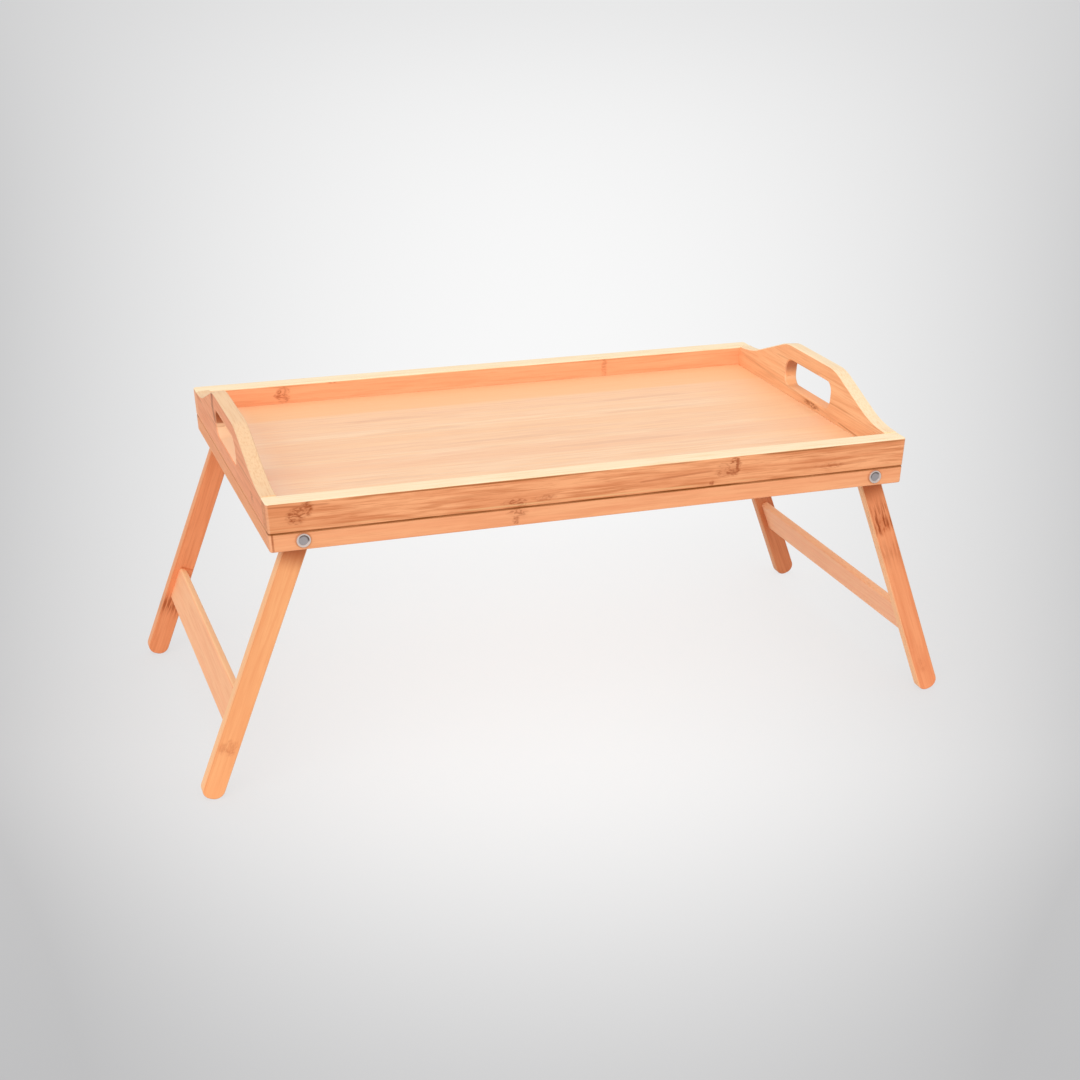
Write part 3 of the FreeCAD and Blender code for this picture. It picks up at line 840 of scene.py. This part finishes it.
for side, out in OUTWARD.items():
    leg_width = down_legs[side].cross(Vector(ACROSS_TRAY)) * out
    for row_seed, row in enumerate(("front", "back")):
        leg = row + "_" + side
        dress(leg + "_leg", bamboo(leg + "_leg_bamboo", down_legs[side], leg_width, LEGS[leg],
                                   strips(WIDE, 0.5, 20 + row_seed + out), LEG_MARKS[leg],
                                   pivots[side + "_legs"]))
print("legs dressed with %d marks" % sum(len(marks) for marks in LEG_MARKS.values()))

# %% [markdown]
# A crossbar's grain runs from leg to leg. The loose tenons in the corners of the two frames are
# hidden in the wood, and are bamboo too.

# %% Crossbars and loose tenons
for side, out in OUTWARD.items():
    dress(side + "_crossbar", bamboo(side + "_crossbar_bamboo", ACROSS_TRAY, down_legs[side],
                                     CROSSBARS[side], strips(WIDE, 0.2, 30 + out),
                                     origin=pivots[side + "_legs"]))
for joint in ("upper", "lower"):
    dress(joint + "_loose_tenons", bamboo(joint + "_tenon_bamboo", ACROSS_TRAY, UPWARD,
                                          CROSSBARS["left"], strip_from(seam_z, 40)))
print("crossbars and loose tenons dressed")

# %% [markdown]
# ## Hardware
# The pivot heads are turned steel with a dull zinc plate: a bright raised ring round a duller dish,
# with a painted shade in the upper edge of the dish. Turning leaves fine rings, so the brightness and
# the relief follow the distance from the pivot's axis. All four pivots are mirror images, so the
# distance from the middle of the tray serves them all.

# %% Steel
RING_WIDTH = 0.22 * MM
RING_LENGTH = 4 * MM             # how far a turned ring runs on along the axis
MOTTLE = 1.6 * MM
DISH_RADIUS = 3.8 * MM
DISH_EDGE = 0.88                 # share of the radius inside which the dish is all dull
DISH_SHADE_REACH = 2.2 * MM
DISH_SHADE_SPILL = 1.12               # share of the radius where the painted shade ends
RING_STEEL = tone(240, 226, 219)
DISH_STEEL = tone(188, 181, 182)
PAINTED_DISH_SHADE = tone(104, 84, 76)
STEEL_RELIEF = 0.03 * MM


def turned_steel(name):
    """Zinc-plated steel with fine turning rings round each pivot's axis."""
    finish = Finish(name)
    side, rise, radius = axis_distance(finish)
    depth = finish.distance(ACROSS_TRAY)
    rings = finish.noise(radius / RING_WIDTH, depth / RING_LENGTH, 0.0)
    mottle = finish.noise(side / MOTTLE, rise / MOTTLE, depth / MOTTLE, 3.0)
    dish = radius.rise(DISH_RADIUS, DISH_RADIUS * DISH_EDGE)
    # painted shade in the upper edge of the dish
    upper = (rise - side * 0.4).rise(-0.3 * MM, DISH_SHADE_REACH)
    dish_shade = radius.rise(DISH_SHADE_REACH, DISH_RADIUS) * upper
    dish_shade = dish_shade * radius.rise(DISH_RADIUS * DISH_SHADE_SPILL, DISH_RADIUS)
    colour = finish.mix(dish * (0.8 + mottle * 0.4), RING_STEEL, DISH_STEEL)
    colour = finish.mix(dish_shade, colour, PAINTED_DISH_SHADE)
    relief = rings * 0.7 + mottle * 0.3
    return finish.surface(colour, 0.34 + mottle * 0.2, relief, STEEL_RELIEF, {"Metallic": 0.85})


steel = turned_steel("zinc_plated_steel")
steel_nodes = [node for node in frame["nodes"]
               if node.endswith("pivot_barrel") or node == "pivot_screws"]
for node in steel_nodes:
    dress(node, steel)
print("steel:", ", ".join(steel_nodes))

# %% [markdown]
# The washers are plain white nylon. A moulding is never quite even, so a slight mottle varies
# its colour, its gloss and its relief.

# %% Nylon
NYLON = tone(232, 228, 218)
NYLON_SHADE = tone(216, 211, 200)
NYLON_MOTTLE = 2 * MM
NYLON_RELIEF = 0.02 * MM


def moulded_nylon(name):
    """Pale nylon, faintly mottled."""
    finish = Finish(name)
    x, y, z = (finish.distance(way) / NYLON_MOTTLE for way in (ALONG_TRAY, ACROSS_TRAY, UPWARD))
    mottle = finish.noise(x, y, z, 4.0)
    colour = finish.mix(mottle, NYLON, NYLON_SHADE)
    return finish.surface(colour, 0.42 + mottle * 0.14, mottle, NYLON_RELIEF, {"IOR": 1.53})


dress("pivot_washers", moulded_nylon("white_nylon"))
print("washers dressed")

# %% [markdown]
# ## The studio
# The object stands on a wide pale floor. A floor under soft light is brightest in the middle and
# falls off to both sides and towards the front, so its tone is worked out from the distance
# ahead and aside of a line through the tray: a fan that widens as it runs back.

# %% Tone of the floor
FAN_START = (-0.47, -1.36, 0)
FAN_YAW = math.radians(19.4)
FAN_SPREAD = 0.93                # how fast the fan widens ahead
FAN_WIDTH = 0.245                # what it would measure at its start
FAN_LEAST = 1.0                  # but it is never narrower than this
FRONT_EDGE = (1.3, 0.72)         # ahead of the start: where the dim front ends and is full
FRONT_DIM = 0.85
FAR_EDGE = (1.9, 8.0)            # where the dim distance starts and is full
FAR_DIM = 0.3
SIDE_FALL = 9                    # how steeply the sides fall off
SIDE_DIM = 0.85
FLOOR_BRIGHT = tone(248, 248, 248)
FLOOR_DARK = tone(188, 188, 189)


def floor_tone(finish):
    """Pale grey that dims to both sides, towards the front, and a little far away."""
    ahead = finish.distance((math.sin(FAN_YAW), math.cos(FAN_YAW), 0), FAN_START)
    aside = finish.distance((math.cos(FAN_YAW), -math.sin(FAN_YAW), 0), FAN_START)
    fan = aside / (ahead * FAN_SPREAD + FAN_WIDTH).either(FAN_LEAST)
    front = ahead.rise(*FRONT_EDGE) * FRONT_DIM
    far = ahead.rise(*FAR_EDGE) * FAR_DIM
    sides = finish.math("MINIMUM", fan * fan * (SIDE_FALL + (front - far) * 8), SIDE_DIM)
    return finish.mix(1 - (1 - sides) * (1 - front) * (1 - far), FLOOR_BRIGHT, FLOOR_DARK)


print("the bright fan points %.1f degrees off the tray's own depth" % math.degrees(FAN_YAW))

# %% [markdown]
# A brighter lamp would whiten the floor but bleach the bamboo too. Instead most of what the
# camera and the steel see of the floor shines by itself, and the rest is lit, so that the shadow
# under the tray stays but stays faint.

# %% Floor
FLOOR_RADIUS = 16.0
FLOOR_SIDES = 96
FLOOR_GLOW = 0.82


def floor_finish():
    """A matt floor that mostly glows where it is seen."""
    finish = Finish("pale_floor")
    colour = floor_tone(finish)
    matt = finish.node("ShaderNodeBsdfPrincipled", None,
                       {"Base Color": colour, "Roughness": 0.9, "Specular IOR Level": 0.1})
    glow = finish.node("ShaderNodeBsdfPrincipled", None,
                       {"Base Color": (0, 0, 0, 1), "Specular IOR Level": 0.0,
                        "Emission Color": colour, "Emission Strength": 1.0})
    both = finish.node("ShaderNodeMixShader", None,
                       {0: finish.seen() * FLOOR_GLOW, 1: matt.outputs[0], 2: glow.outputs[0]})
    finish.node("ShaderNodeOutputMaterial", None, {"Surface": both.outputs[0]})
    return finish.material


def pale_floor():
    """A round floor."""
    mesh = bpy.data.meshes.new("studio_floor")
    disc = bmesh.new()
    bmesh.ops.create_circle(disc, cap_ends=True, segments=FLOOR_SIDES, radius=FLOOR_RADIUS)
    disc.to_mesh(mesh)
    disc.free()
    mesh.materials.append(floor_finish())
    floor = bpy.data.objects.new("studio_floor", mesh)
    bpy.context.scene.collection.objects.link(floor)
    return floor


pale_floor()
print("floor laid, %.0f m across" % (2 * FLOOR_RADIUS))

# %% [markdown]
# ## Light
# A product picture like this is lit evenly from all round, so the world gives most of the light.
# One very broad sun from the front left, high up, makes what faces up a little brighter than the
# sides and lays the faint shadow.

# %% Sun
SUN_LIGHT = 1.02
SUN_SPREAD = math.radians(60)
SUN_FROM = (-0.8, -1.2, 0.9)

light = bpy.data.lights.new("soft_sun", "SUN")
light.energy = SUN_LIGHT
light.angle = SUN_SPREAD
sun = bpy.data.objects.new("soft_sun", light)
sun.rotation_euler = Vector(SUN_FROM).to_track_quat("Z", "Y").to_euler()
bpy.context.scene.collection.objects.link(sun)
print("sun from", SUN_FROM)

# %% [markdown]
# What the camera and the steel see of the world is a pale grey, whatever light it gives. So the
# world has two backgrounds, one to give light and one to be seen.

# %% World
WORLD_LIGHT = 0.88
WORLD_SEEN = tone(214, 214, 215)

world = bpy.data.worlds.new("studio_world")
world.use_nodes = True
bpy.context.scene.world = world
sky = Network(world.node_tree)
lighting = sky.node("ShaderNodeBackground", None, {"Color": (1, 1, 1, 1), "Strength": WORLD_LIGHT})
backdrop = sky.node("ShaderNodeBackground", None, {"Color": WORLD_SEEN})
either = sky.node("ShaderNodeMixShader", None,
                  {0: sky.seen(), 1: lighting.outputs[0], 2: backdrop.outputs[0]})
sky.node("ShaderNodeOutputWorld", None, {"Surface": either.outputs[0]})
print("world lit at %.2f" % WORLD_LIGHT)

# %% [markdown]
# ## Camera
# The photograph was taken from the front left, well above the rim, with a fairly long lens. The
# place, the three angles and the lens come from fitting the corners of the tray to the picture,
# which was cropped a little off centre, so the lens is shifted by the same amount.

# %% Camera
PICTURE = 1080                   # pixels, both ways
FOCAL_PIXELS = 1875.2
PICTURE_CENTRE = (588.05, 556.48)
CAMERA_ABOVE_RIM = 0.4416
CAMERA_PLACE = (-0.4700, -1.3608, CAMERA_ABOVE_RIM + rim_z)
YAW, PITCH, ROLL = (math.radians(angle) for angle in (20.72, -21.45, 1.01))

ahead = Vector((math.sin(YAW) * math.cos(PITCH), math.cos(YAW) * math.cos(PITCH), math.sin(PITCH)))
level = Vector((math.cos(YAW), -math.sin(YAW), 0))
upright = level.cross(ahead)
right = level * math.cos(ROLL) + upright * math.sin(ROLL)
top = upright * math.cos(ROLL) - level * math.sin(ROLL)

lens = bpy.data.cameras.new("camera")
lens.sensor_width = 36
lens.lens = FOCAL_PIXELS * lens.sensor_width / PICTURE
lens.shift_x = (PICTURE / 2 - PICTURE_CENTRE[0]) / PICTURE
lens.shift_y = (PICTURE_CENTRE[1] - PICTURE / 2) / PICTURE
camera = bpy.data.objects.new("camera", lens)
turn = Matrix((right, top, -ahead)).transposed().to_4x4()
camera.matrix_world = Matrix.Translation(CAMERA_PLACE) @ turn
bpy.context.scene.collection.objects.link(camera)
bpy.context.scene.camera = camera
bpy.context.scene.view_settings.view_transform = "Standard"
print("lens %.1f mm, shift %.3f %.3f" % (lens.lens, lens.shift_x, lens.shift_y))

# %% [markdown]
# ## Size
# A finish shouldn't change the size of the object.

# %% Size
import json

# %% [markdown]
